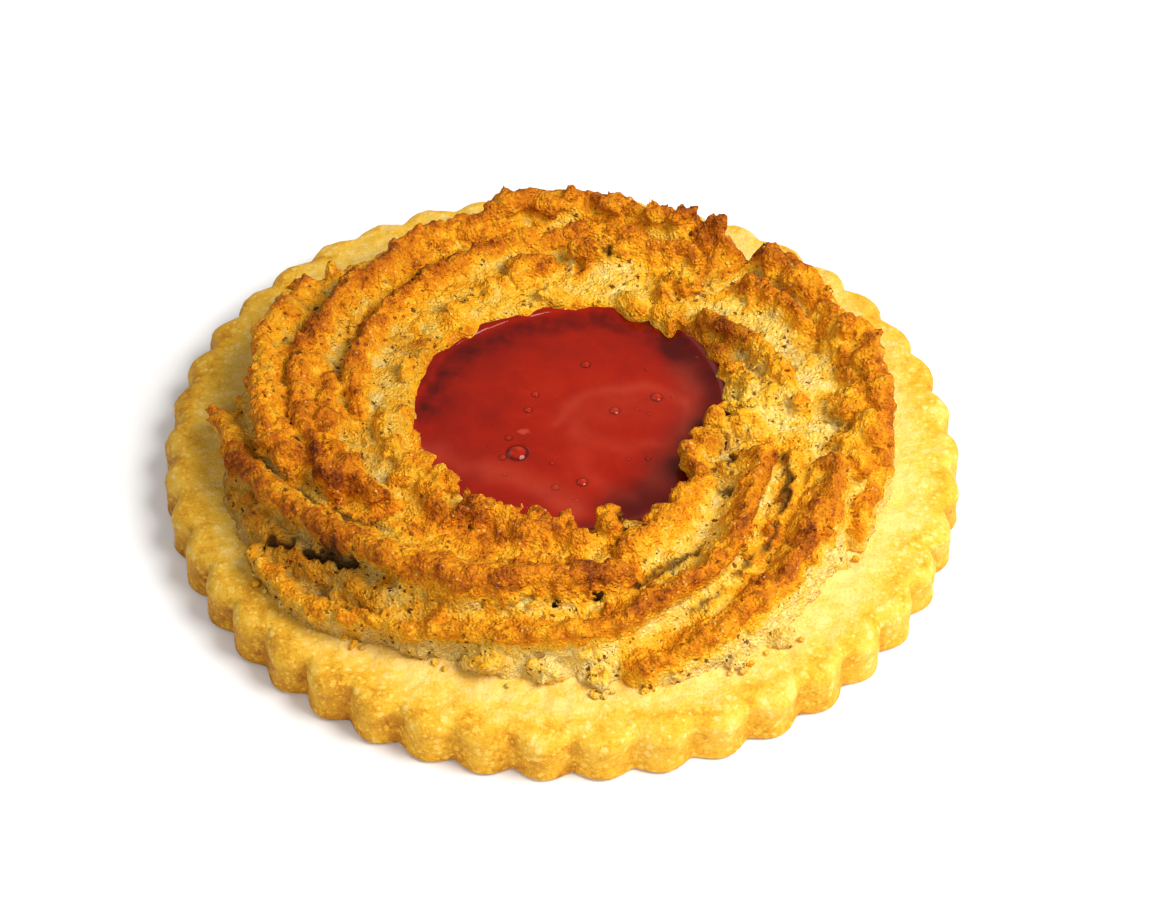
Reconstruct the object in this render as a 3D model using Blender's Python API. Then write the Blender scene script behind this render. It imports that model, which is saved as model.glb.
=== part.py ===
"""Hazelnut cookie: a scalloped shortbread disc, a piped hazelnut ring baked on it and red jelly in the ring.

Metres, +Z up. The origin is the middle of the flat underside, and the picture's near side is at -Y.
Angles are in degrees, counterclockwise from +X.
"""
import math

import bmesh
import bpy
from mathutils import Vector, noise

MM = 0.001
SKIN_GAP = 0.3 * MM

# Shortbread disc
BASE_RADIUS = 45.0 * MM
BASE_HEIGHT = 6.0 * MM
SCALLOP_COUNT = 43
SCALLOP_DEPTH = 1.35 * MM
SCALLOP_STEPS = 5
FIRST_TIP_ANGLE = -7.3
# Out of round: radius terms at two and three waves, and how far the scallops crowd together on the left
OVAL_COS, OVAL_SIN, THREE_LOBE = 0.18 * MM, -0.41 * MM, 0.28 * MM
CROWDING_ONE, CROWDING_TWO = 1.64, -0.58
# The edge from the underside up and in over the rounded rim: inset, height, share of the scallop depth
BASE_EDGE = (
    (0.5 * MM, 0.0, 1.0),
    (0.0, 0.6 * MM, 1.0),
    (0.0, 3.7 * MM, 1.0),
    (0.5 * MM, 5.0 * MM, 0.85),
    (1.7 * MM, 5.8 * MM, 0.5),
    (3.2 * MM, 6.0 * MM, 0.2),
)

# Red jelly, flat with a raised rim where it wets the ring
JELLY_CENTRE = Vector((1.1 * MM, 1.1 * MM))
JELLY_RADIUS = 17.8 * MM
JELLY_TOP = 10.0 * MM
JELLY_SINK = 0.3 * MM
JELLY_SEGMENTS = 64

# Hazelnut ring
RING_CENTRE = Vector((-0.6 * MM, 0.8 * MM))
RING_COLUMNS = 132
RING_FOOT_Z = BASE_HEIGHT + SKIN_GAP
RING_FOOT_RADIUS = 36.2 * MM
FOOT_WANDER = 1.1 * MM
LIP_Z = JELLY_TOP + 0.4 * MM
LIP_DEPTH = 4.0 * MM
SHOULDER_RADIUS = 32.3 * MM
SHOULDER_Z = 8.0 * MM
MOUND_TOP = 10.9 * MM
MOUND_ROUNDNESS = 2.4
LIP_RAYS = (6, 26, 46, 68)
TOP_RAYS = 10
SHOULDER_RAYS = (74, 58, 42, 26, 10)
BLEND = 0.2 * MM
RIDGE_END_LENGTH = 1.3
RIDGE_SIDE_FALL = 2.5
SMALLEST_RIDGE = 0.1 * MM
CRAG_HEIGHT = 0.55 * MM
CRAG_SIZE = 2.6 * MM
FINE_CRAG_SIZE = 1.2 * MM
FINE_CRAG_SHARE = 0.7

# The piped ridges. Each runs inward as its angle grows: first and last angle, then the radius of its
# middle line and the height of its crest, in millimetres, at the start, halfway and at the end, and its
# half width
RIDGES = (
    (139, 202, (35.2, 32.8, 30.0), (11.0, 14.8, 14.4), 2.1),
    (100, 212, (31.2, 29.0, 26.6), (13.6, 14.4, 14.8), 2.0),
    (174, 290, (36.9, 30.2, 27.6), (10.4, 15.2, 14.4), 2.6),
    (216, 343, (37.0, 33.3, 23.0), (9.2, 12.9, 15.2), 2.2),
    (277, 339, (35.8, 35.5, 32.6), (8.6, 12.9, 15.6), 2.1),
    (321, 392, (34.4, 35.6, 33.4), (9.8, 14.6, 13.6), 2.8),
    (26, 47, (33.4, 32.6, 31.2), (14.0, 14.8, 14.0), 2.4),
    (22, 46, (29.6, 28.9, 26.8), (13.4, 13.9, 13.0), 1.7),
    (-5, 41, (29.2, 26.4, 22.4), (13.4, 13.9, 12.8), 2.1),
    (48, 107, (31.4, 32.8, 31.8), (13.2, 14.0, 15.2), 2.3),
    (53, 85, (29.4, 27.8, 23.8), (13.2, 13.6, 12.4), 1.7),
    (45, 63, (19.6, 21.6, 25.6), (11.8, 12.2, 12.8), 1.7),
    (70, 183, (30.2, 25.6, 21.6), (13.2, 13.0, 13.4), 1.8),
    (87, 115, (23.7, 22.6, 20.8), (12.6, 13.0, 12.4), 1.6),
    (166, 222, (24.8, 24.6, 23.2), (13.2, 14.2, 13.6), 2.0),
    (172, 292, (20.6, 21.2, 21.8), (12.0, 12.7, 13.2), 2.3),
    (284, 347, (25.4, 21.8, 18.4), (13.4, 13.6, 12.4), 2.1),
    (344, 386, (24.0, 23.6, 22.0), (12.2, 12.6, 11.8), 2.3),
)

# Principled BSDF values: colour, roughness, coat
BASE_FINISH = ((0.80, 0.55, 0.20, 1.0), 0.75, 0.0)
RING_FINISH = ((0.56, 0.29, 0.08, 1.0), 0.85, 0.0)
JELLY_FINISH = ((0.33, 0.008, 0.006, 1.0), 0.12, 0.6)


def remove_scene_objects():
    for item in list(bpy.data.objects):
        bpy.data.objects.remove(item, do_unlink=True)


def make_material(name, finish):
    colour, roughness, coat = finish
    material = bpy.data.materials.new(name)
    material.use_nodes = True
    shader = material.node_tree.nodes["Principled BSDF"]
    shader.inputs["Base Color"].default_value = colour
    shader.inputs["Roughness"].default_value = roughness
    shader.inputs["Coat Weight"].default_value = coat
    material.diffuse_color = colour
    return material


def make_object(name, loops, finish, closed_ring=False, sharp_angle=50):
    """Skins a stack of loops of points. A closed ring also joins its last loop to its first; otherwise
    the first and the last loop are filled."""
    mesh_builder = bmesh.new()
    rows = [[mesh_builder.verts.new(point) for point in loop] for loop in loops]
    count = len(rows[0])
    pairs = list(zip(rows, rows[1:]))
    if closed_ring:
        pairs.append((rows[-1], rows[0]))
    for low, high in pairs:
        for i in range(count):
            j = (i + 1) % count
            mesh_builder.faces.new((low[i], low[j], high[j], high[i]))
    if not closed_ring:
        mesh_builder.faces.new(list(reversed(rows[0])))
        mesh_builder.faces.new(rows[-1])
    bmesh.ops.triangulate(mesh_builder, faces=mesh_builder.faces[:])
    bmesh.ops.recalc_face_normals(mesh_builder, faces=mesh_builder.faces[:])
    mesh = bpy.data.meshes.new(name)
    mesh_builder.to_mesh(mesh)
    mesh_builder.free()
    mesh.shade_smooth()
    mesh.set_sharp_from_angle(angle=math.radians(sharp_angle))
    mesh.materials.append(make_material(name + "_finish", finish))
    item = bpy.data.objects.new(name, mesh)
    bpy.context.scene.collection.objects.link(item)
    return item


def base_outline():
    """The rim's angles, its smooth radius at each and how deep the scallops cut in there."""
    outline = []
    for k in range(SCALLOP_COUNT * SCALLOP_STEPS):
        phase = k / SCALLOP_STEPS
        even = math.radians(FIRST_TIP_ANGLE + phase * 360.0 / SCALLOP_COUNT)
        crowd = math.radians(CROWDING_ONE * math.sin(even) + CROWDING_TWO * math.sin(2 * even))
        radius = BASE_RADIUS + OVAL_COS * math.cos(2 * even) + OVAL_SIN * math.sin(2 * even)
        radius += THREE_LOBE * math.sin(3 * even)
        unevenness = 1.0 + 0.25 * noise.noise(Vector((4 * math.cos(even), 4 * math.sin(even), 0.5)))
        cut = SCALLOP_DEPTH * unevenness * (1.0 - abs(math.cos(math.pi * phase)))
        outline.append((even + crowd, radius, cut))
    return outline


def shortbread_base():
    outline = base_outline()
    rim_x = [(radius - cut) * math.cos(angle) for angle, radius, cut in outline]
    rim_y = [(radius - cut) * math.sin(angle) for angle, radius, cut in outline]
    middle_x = (max(rim_x) + min(rim_x)) / 2
    middle_y = (max(rim_y) + min(rim_y)) / 2
    loops = []
    for inset, height, share in BASE_EDGE:
        loop = []
        for angle, radius, cut in outline:
            reach = radius - inset - share * cut
            loop.append((reach * math.cos(angle) - middle_x, reach * math.sin(angle) - middle_y, height))
        loops.append(loop)
    return make_object("shortbread_base", loops, BASE_FINISH)


def red_jelly():
    sections = (
        (JELLY_RADIUS, BASE_HEIGHT + SKIN_GAP),
        (JELLY_RADIUS, JELLY_TOP - 0.1 * MM),
        (JELLY_RADIUS - 0.25 * MM, JELLY_TOP),
        (JELLY_RADIUS - 1.3 * MM, JELLY_TOP - 0.8 * JELLY_SINK),
        (JELLY_RADIUS * 0.55, JELLY_TOP - JELLY_SINK),
    )
    loops = []
    for radius, height in sections:
        loop = []
        for k in range(JELLY_SEGMENTS):
            angle = 2 * math.pi * k / JELLY_SEGMENTS
            spot = JELLY_CENTRE + radius * Vector((math.cos(angle), math.sin(angle)))
            loop.append((spot.x, spot.y, height))
        loops.append(loop)
    return make_object("red_jelly", loops, JELLY_FINISH, sharp_angle=60)


def three_point(values, t):
    """A parabola through the values at t 0, 0.5 and 1."""
    start, half, end = values
    return start * (1 - t) * (1 - 2 * t) + half * 4 * t * (1 - t) + end * t * (2 * t - 1)


def ridge_sections(angle):
    """The round sections of the ridges that cross this angle: middle radius, middle height, half width."""
    sections = []
    for first, last, radii, crests, half_width in RIDGES:
        for turn in (-360, 0, 360):
            place = angle + turn
            if not first < place < last:
                continue
            t = (place - first) / (last - first)
            radius = three_point(radii, t) * MM
            crest = three_point(crests, t) * MM
            to_end = math.radians(min(place - first, last - place)) * radius
            rounding = min(1.0, to_end / (RIDGE_END_LENGTH * half_width * MM))
            size = half_width * MM * math.sqrt(1 - (1 - rounding) ** 2)
            sections.append((radius, crest - half_width * MM, size))
    return sections


def hole_radius(angle):
    """From the ring's centre to the wall of the hole, which is round about the jelly."""
    direction = Vector((math.cos(angle), math.sin(angle)))
    offset = JELLY_CENTRE - RING_CENTRE
    along = offset.dot(direction)
    across = offset.length_squared - along ** 2
    return along + math.sqrt((JELLY_RADIUS + SKIN_GAP) ** 2 - across)


def ring_rays(hole):
    """The rays that carry one slice of the ring: where each starts, which way it goes, how far out the
    plain mound lies along it. They fan over the lip, stand upright on top and fan over the shoulder."""
    lip_radius = hole + LIP_DEPTH
    rays = []

    def fan(start_radius, start_height, side, width, degrees):
        rise = MOUND_TOP - start_height
        for turn in degrees:
            direction = Vector((side * math.cos(math.radians(turn)), math.sin(math.radians(turn))))
            flat = abs(direction.x / width) ** MOUND_ROUNDNESS
            tall = abs(direction.y / rise) ** MOUND_ROUNDNESS
            mound = (flat + tall) ** (-1 / MOUND_ROUNDNESS)
            rays.append((Vector((start_radius, start_height)), direction, mound))

    fan(lip_radius, LIP_Z, -1, LIP_DEPTH, LIP_RAYS)
    for k in range(TOP_RAYS):
        share = k / (TOP_RAYS - 1)
        radius = lip_radius + share * (SHOULDER_RADIUS - lip_radius)
        start = Vector((radius, LIP_Z + share * (SHOULDER_Z - LIP_Z)))
        rays.append((start, Vector((0, 1)), MOUND_TOP - start.y))
    fan(SHOULDER_RADIUS, SHOULDER_Z, 1, RING_FOOT_RADIUS - SHOULDER_RADIUS, SHOULDER_RAYS)
    return rays


def ridge_reach(start, direction, section):
    """How far along a ray the outside of a ridge's round section lies; past its side this falls away."""
    radius, height, size = section
    to_middle = Vector((radius, height)) - start
    along = to_middle.dot(direction)
    aside = abs(to_middle.cross(direction)) / max(size, SMALLEST_RIDGE)
    if aside < 1:
        return along + size * math.sqrt(1 - aside ** 2)
    return along - RIDGE_SIDE_FALL * size * (aside - 1)


def blended_highest(reaches):
    top = max(reaches)
    return top + BLEND * math.log(sum(math.exp((reach - top) / BLEND) for reach in reaches))


def crag(spot):
    """Uneven broken crumb: bumps of two sizes."""
    fine = FINE_CRAG_SHARE * noise.noise(spot / FINE_CRAG_SIZE)
    return CRAG_HEIGHT * (noise.noise(spot / CRAG_SIZE) + fine)


def foot_radius(angle):
    """The outer foot wanders in and out in broad and in short waves."""
    spot = Vector((math.cos(angle), math.sin(angle), 0.8))
    return RING_FOOT_RADIUS + FOOT_WANDER * (noise.noise(3 * spot) + noise.noise(11 * spot))


def ring_slice(angle):
    """One upright slice: radius and height from the hole's foot over the top to the outer foot."""
    hole = hole_radius(angle)
    sections = ridge_sections(math.degrees(angle))
    points = [Vector((hole, RING_FOOT_Z)), Vector((hole, LIP_Z))]
    for start, direction, mound in ring_rays(hole):
        reaches = [mound] + [ridge_reach(start, direction, section) for section in sections]
        reach = blended_highest(reaches)
        rough = start + reach * direction
        spot = Vector((rough.x * math.cos(angle), rough.x * math.sin(angle), rough.y))
        points.append(start + (reach + crag(spot)) * direction)
    points.append(Vector((foot_radius(angle), RING_FOOT_Z)))
    return points


def hazelnut_ring():
    slices = []
    for k in range(RING_COLUMNS):
        angle = 2 * math.pi * k / RING_COLUMNS
        outward = Vector((math.cos(angle), math.sin(angle)))
        column = []
        for point in ring_slice(angle):
            flat = RING_CENTRE + point.x * outward
            column.append((flat.x, flat.y, point.y))
        slices.append(column)
    loops = [list(loop) for loop in zip(*slices)]
    return make_object("hazelnut_ring", loops, RING_FINISH, closed_ring=True)


remove_scene_objects()
shortbread_base()
hazelnut_ring()
red_jelly()
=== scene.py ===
"""The looks of the hazelnut cookie: crumbly piped ring, scalloped shortbread and glossy red jelly.

Lengths named in millimetres are turned into metres only where a mesh is made. Angles are in degrees,
counterclockwise from +X, seen from above.
"""
import math

import bmesh
import bpy
import numpy as np
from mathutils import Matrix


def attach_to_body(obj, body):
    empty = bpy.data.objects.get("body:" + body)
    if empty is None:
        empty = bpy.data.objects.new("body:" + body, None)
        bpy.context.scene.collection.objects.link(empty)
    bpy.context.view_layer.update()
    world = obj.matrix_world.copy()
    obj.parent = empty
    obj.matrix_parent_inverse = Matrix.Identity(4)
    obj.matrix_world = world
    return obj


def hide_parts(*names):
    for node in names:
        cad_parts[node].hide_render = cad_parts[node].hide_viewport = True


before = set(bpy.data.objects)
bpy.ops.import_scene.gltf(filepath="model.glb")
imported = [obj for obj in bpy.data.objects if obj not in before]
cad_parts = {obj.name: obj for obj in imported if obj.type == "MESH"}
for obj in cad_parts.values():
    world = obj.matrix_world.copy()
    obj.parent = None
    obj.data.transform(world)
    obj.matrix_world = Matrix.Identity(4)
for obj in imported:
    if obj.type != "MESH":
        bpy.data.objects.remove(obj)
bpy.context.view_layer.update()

MM = 0.001

# Camera, from the photo: the middle of the underside lies at this pixel of the 1160 by 920 frame
PHOTO_WIDTH, PHOTO_HEIGHT = 1160, 920
BASE_PIXEL = (561.6, 487.2)
CAMERA_ELEVATION = 44.8
CAMERA_DISTANCE = 0.4893
FOCAL_PIXELS = 4283.0
SENSOR_WIDTH = 36.0

# Shortbread disc, as in the solids
BASE_RADIUS = 45.0
BASE_HEIGHT = 6.0
SCALLOP_COUNT = 43
SCALLOP_DEPTH = 1.35
FIRST_TIP_ANGLE = -7.3
OVAL_COS, OVAL_SIN, THREE_LOBE = 0.18, -0.41, 0.28
CROWDING_ONE, CROWDING_TWO = 1.64, -0.58
BASE_COLUMNS = SCALLOP_COUNT * 22
NOTCH_ROUNDING = 0.15
SHOULDER_START = 4.2
SHOULDER_INSET = 2.1
MIDDLE_INSET = 44.0

# Jelly and ring, as in the solids
JELLY_CENTRE = (1.1, 1.1)
JELLY_RADIUS = 17.8
JELLY_TOP = 10.0
JELLY_BOTTOM = 6.3
RING_CENTRE = (-0.6, 0.8)
RING_FOOT_RADIUS = 36.4
MOUND_TOP = 10.9

# The piped ridges, near the solids' ones, with seven moved and three added to fit the photo: first and
# last angle, radius of the middle line and height of the crest at equal steps from start to end, half
# width; then how far the inner and the outer flank spread for each millimetre down, and how toasted the
# crest is at its start and its end
RIDGES = (
    (139, 202, (35.2, 33.0, 30.4), (11.6, 14.8, 14.4), 2.2, 1.50, -0.10, 0.42, 0.44),
    (100, 212, (31.2, 29.0, 26.6), (13.6, 14.4, 14.8), 2.0, 1.00, 0.05, 0.58, 0.62),
    (174, 290, (36.9, 29.9, 26.0), (10.4, 15.2, 14.0), 2.8, 1.20, -0.25, 0.40, 0.46),
    (234, 291, (29.6, 27.5, 26.0), (14.6, 15.1, 14.0), 2.8, 1.20, 0.30, 0.40, 0.46),
    (207, 343, (37.0, 37.2, 34.5, 33.2, 33.0, 31.2, 28.6, 25.4, 22.9),
     (9.6, 9.4, 10.4, 11.8, 12.9, 13.9, 14.5, 15.0, 15.1), 2.2, 1.00, -0.15, 0.20, 0.56),
    (281, 345, (36.7, 34.7, 31.2), (8.6, 12.9, 14.9), 2.0, 1.10, 0.18, 0.50, 0.56),
    (312, 350, (30.4, 29.2, 26.2), (11.0, 12.0, 12.2), 2.6, 0.30, 0.30, 0.34, 0.32),
    (332, 392, (35.2, 35.5, 33.5), (8.6, 14.2, 13.2), 2.4, 0.80, 0.02, 0.46, 0.50),
    (338, 384, (34.0, 33.2, 32.0), (10.6, 12.9, 12.4), 2.3, 0.60, 0.40, 0.40, 0.44),
    (26, 51, (34.8, 34.6, 32.8), (12.6, 14.2, 12.8), 1.9, 0.80, 0.15, 0.56, 0.60),
    (22, 47, (31.4, 30.4, 28.2), (13.0, 13.6, 12.8), 1.5, 0.60, 0.30, 0.50, 0.56),
    (-4, 46, (29.4, 25.6, 23.4), (12.8, 13.8, 13.0), 2.0, 0.30, 0.60, 0.44, 0.46),
    (48, 107, (31.4, 32.8, 31.8), (13.2, 14.0, 15.0), 2.3, 0.90, 0.10, 0.56, 0.56),
    (53, 85, (29.4, 27.8, 23.8), (13.2, 13.6, 12.4), 1.6, 0.70, 0.20, 0.50, 0.56),
    (45, 63, (19.6, 21.6, 25.6), (11.8, 12.2, 12.8), 1.7, 0.50, 0.50, 0.34, 0.40),
    (70, 183, (30.2, 25.6, 21.6), (13.2, 13.0, 13.4), 1.8, 0.80, 0.15, 0.56, 0.54),
    (87, 115, (23.7, 22.6, 20.8), (12.6, 12.8, 12.2), 1.6, 0.80, 0.30, 0.40, 0.44),
    (166, 222, (24.8, 24.6, 23.2), (13.2, 14.2, 13.6), 2.0, 0.70, 0.30, 0.52, 0.58),
    (172, 292, (20.6, 21.2, 21.8), (12.0, 12.7, 13.2), 2.3, -0.05, 0.90, 0.34, 0.54),
    (284, 347, (25.4, 21.8, 18.4), (13.4, 13.6, 12.4), 2.1, 0.10, 0.80, 0.46, 0.48),
    (344, 386, (24.0, 23.6, 22.0), (12.2, 12.6, 11.8), 2.3, 0.40, 0.60, 0.18, 0.24),
)
# Size of the rounded crest as a share of the half width, and how far a ridge sinks at its ends
CREST_SHARE = 0.46
END_DROP = 3.2
END_FALL = 8.0

# Broken clumps of crumb: angle, radius, top, half width outward and half width along the ring
CLUMPS = (
    (222.8, 16.9, 12.9, 1.3, 1.9), (244.1, 17.6, 13.1, 1.4, 2.1), (262.3, 17.8, 13.1, 1.2, 1.5),
    (273.5, 18.8, 13.0, 1.1, 0.8), (286.5, 20.2, 14.4, 2.0, 1.05), (304.0, 20.9, 13.3, 1.5, 1.7),
    (315.9, 19.8, 13.1, 1.4, 1.5), (340.5, 17.6, 12.8, 1.7, 2.6), (354.1, 18.4, 12.6, 1.6, 1.5),
    (188.8, 18.9, 12.6, 1.6, 2.8), (158.9, 18.0, 12.6, 1.2, 2.2), (97.0, 24.2, 13.1, 1.5, 3.2),
    (124.1, 20.0, 12.4, 1.9, 2.8), (91.9, 19.6, 12.3, 1.4, 1.7), (54.3, 25.3, 13.2, 1.3, 2.3),
    (64.2, 20.6, 12.0, 1.8, 2.6), (52.4, 21.6, 12.0, 1.5, 2.2), (82.2, 26.1, 13.8, 1.3, 2.3),
    (5.6, 24.0, 12.8, 2.8, 3.2), (28.3, 21.4, 11.8, 1.6, 1.9), (100.1, 32.6, 15.4, 1.4, 2.7),
    (92.4, 32.3, 15.0, 1.3, 2.4), (69.7, 33.2, 15.3, 1.2, 1.7), (64.3, 33.3, 15.3, 1.0, 0.9),
    (56.8, 34.2, 15.2, 1.0, 0.9), (78.9, 32.7, 15.1, 1.2, 1.8), (2.5, 36.0, 14.7, 1.8, 2.6),
    (10.5, 35.5, 14.5, 1.6, 2.2), (18.4, 34.4, 15.3, 1.0, 1.2), (353.0, 35.2, 14.3, 1.8, 2.4),
    (345.0, 34.6, 13.2, 1.6, 2.4), (0.0, 33.0, 13.7, 1.8, 2.6), (349.0, 33.4, 13.1, 1.6, 2.2),
    (43.3, 34.0, 14.6, 1.5, 1.7), (36.5, 34.4, 14.1, 1.4, 2.2), (299.5, 38.9, 7.6, 1.3, 1.6),
    (309.0, 38.8, 7.8, 1.4, 1.7), (329.5, 36.4, 7.3, 1.1, 1.6), (277.2, 37.6, 7.8, 1.0, 1.3),
    (258.0, 35.6, 9.0, 1.6, 2.4), (267.5, 36.0, 8.8, 1.5, 2.2), (285.0, 36.2, 9.0, 1.5, 2.4),
    (247.0, 34.9, 8.2, 1.2, 1.8),
)

# Torn tips: angle and radius about the ring's centre, height, thickness and how far outward the foot lies
TIPS = (
    (288.6, 18.6, 14.0, 1.3, 2.6), (284.6, 18.9, 13.9, 1.0, 2.4), (290.9, 19.0, 13.7, 1.0, 2.4),
    (273.8, 17.6, 13.1, 0.8, 2.2), (250.0, 17.2, 12.7, 1.2, 2.2), (235.8, 17.4, 12.9, 1.1, 2.0),
    (225.6, 16.4, 12.5, 1.3, 2.2), (191.0, 17.4, 12.1, 1.3, 2.0), (180.0, 17.0, 12.1, 1.4, 2.0),
    (299.0, 21.0, 12.9, 1.3, 2.0), (309.8, 20.0, 12.9, 1.3, 2.0), (320.0, 19.6, 12.7, 1.3, 2.2),
    (331.4, 18.4, 12.6, 1.4, 2.4), (347.0, 16.9, 12.1, 1.3, 2.4), (100.2, 33.8, 14.9, 1.2, 0.3),
    (95.8, 33.8, 14.6, 1.2, 0.3), (87.3, 33.4, 15.3, 1.4, 0.2), (79.1, 33.0, 14.4, 1.2, 0.2),
    (70.2, 33.6, 14.7, 1.2, 0.2), (65.3, 33.8, 14.7, 1.0, 0.0), (62.2, 34.3, 14.8, 1.1, -0.2),
    (58.1, 34.7, 14.9, 1.2, -0.3), (18.8, 34.9, 15.8, 1.4, 0.2), (10.5, 36.2, 14.3, 1.2, -0.6),
    (2.5, 36.5, 14.6, 1.3, -0.6), (138.4, 35.0, 12.8, 1.3, -1.0), (143.6, 37.4, 10.8, 1.3, -1.6),
    (193.0, 37.2, 11.8, 1.2, -1.5),
)

# Cracks that opened in the furrows: first and last angle, radius at each, height, half width
CRACKS = (
    (199, 227, 32.3, 25.6, 11.8, 0.24),
    (210, 216, 36.8, 35.2, 10.0, 0.40),
    (217, 230, 35.0, 31.4, 10.0, 0.54),
    (242, 292, 30.9, 28.0, 10.8, 0.30),
    (290, 308, 27.6, 26.2, 11.2, 0.22),
    (288, 304, 34.2, 32.6, 11.0, 0.25),
    (306, 324, 32.4, 30.2, 11.6, 0.20),
    (325, 348, 29.9, 25.8, 12.2, 0.24),
    (182, 193, 32.9, 32.6, 10.6, 0.36),
    (110, 160, 27.6, 26.0, 12.0, 0.18),
)

# Hollows, painted dark inside as shade: angle, radius, half width
HOLLOWS = (
    (335.2, 20.6, 0.70), (325.1, 22.7, 0.65), (193.6, 29.8, 0.40), (198.4, 37.6, 0.25), (49.1, 24.7, 0.50),
    (45.4, 32.0, 0.35), (93.2, 21.6, 0.15), (76.5, 26.3, 0.20), (168.2, 30.2, 0.30), (162.4, 26.4, 0.25),
    (350.3, 28.6, 0.20), (346.4, 30.7, 0.30), (281.2, 18.9, 0.8), (291.6, 20.0, 0.5),
)
HOLLOW_FLOOR = 11.2

# How far the hole's wall stands out from a true circle, and how far the torn lip above the jelly does:
# angle and distance, negative over the jelly
HOLE = (
    (0, 0.4), (12, 0.0), (42, 1.5), (52, 2.2), (63, 2.0), (70, 0.8), (82, 0.5), (100, -0.3), (123, 0.0),
    (140, 0.2), (148, -0.1), (158, -0.3), (165, 0.1), (175, 0.4), (190, 0.1), (204, -0.7), (214, 0.0),
    (345, 0.0), (360, 0.4),
)
LIP = (
    (0, 0.0), (3, -2.0), (6, -0.9), (10, 0.3), (16, 0.0), (150, 0.0), (180, -0.3), (198, -0.3), (203, -0.7),
    (207, -1.3), (210, -0.4), (214, 0.0), (225, -0.8), (229, 0.3), (231.6, 0.9), (236, 1.2), (240, -1.2),
    (247.6, -2.1), (253, -2.2), (256, -2.2), (259, -0.9), (262, -0.9), (267, -1.9), (270, -1.4), (273, -0.9),
    (276, 0.8), (279.5, 2.8), (282, 2.2), (285, -0.5), (288.5, 0.0), (291, 0.0), (294, -0.8), (296, 1.4),
    (299, 1.2), (303, 0.5), (309, 0.3), (312, -0.6), (315, -0.7), (318, 0.1), (321, 0.3), (324, -0.2),
    (327, -2.0), (330, -1.9), (333, -2.6), (336, -2.1), (339, -1.3), (342, -0.5), (345, 0.0), (348, -0.6),
    (351, -2.5), (354, -3.0), (357, -2.3), (360, 0.0),
)

# How steeply the low body runs out on the shortbread: angle and distance outward for each millimetre down
APRON = (
    (0, 0.15), (28, 0.25), (60, 0.35), (236, 0.35), (248, 0.50), (262, 0.70), (280, 0.80), (294, 1.10),
    (311, 1.35), (331, 1.10), (337, 0.55), (344, 0.15), (360, 0.15),
)

# Foot of the ring on the shortbread: angle and radius
FOOT = (
    (0, 37.3), (12, 37.3), (22, 36.6), (45, 36.4), (80, 36.0), (100, 36.4), (120, 35.4), (137, 37.0),
    (146, 38.0), (160, 36.6), (178, 36.8), (192, 38.4), (204, 38.0), (215, 38.3), (224, 36.6), (235, 36.6),
    (243, 35.4), (252, 35.8), (262, 36.8), (269, 37.2), (273, 35.8), (277, 38.0), (283, 37.6), (294, 37.4),
    (299, 39.2), (304, 38.8), (310, 39.4), (317, 36.8), (328, 35.6), (335, 36.6), (347, 36.8), (360, 37.3),
)

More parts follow.
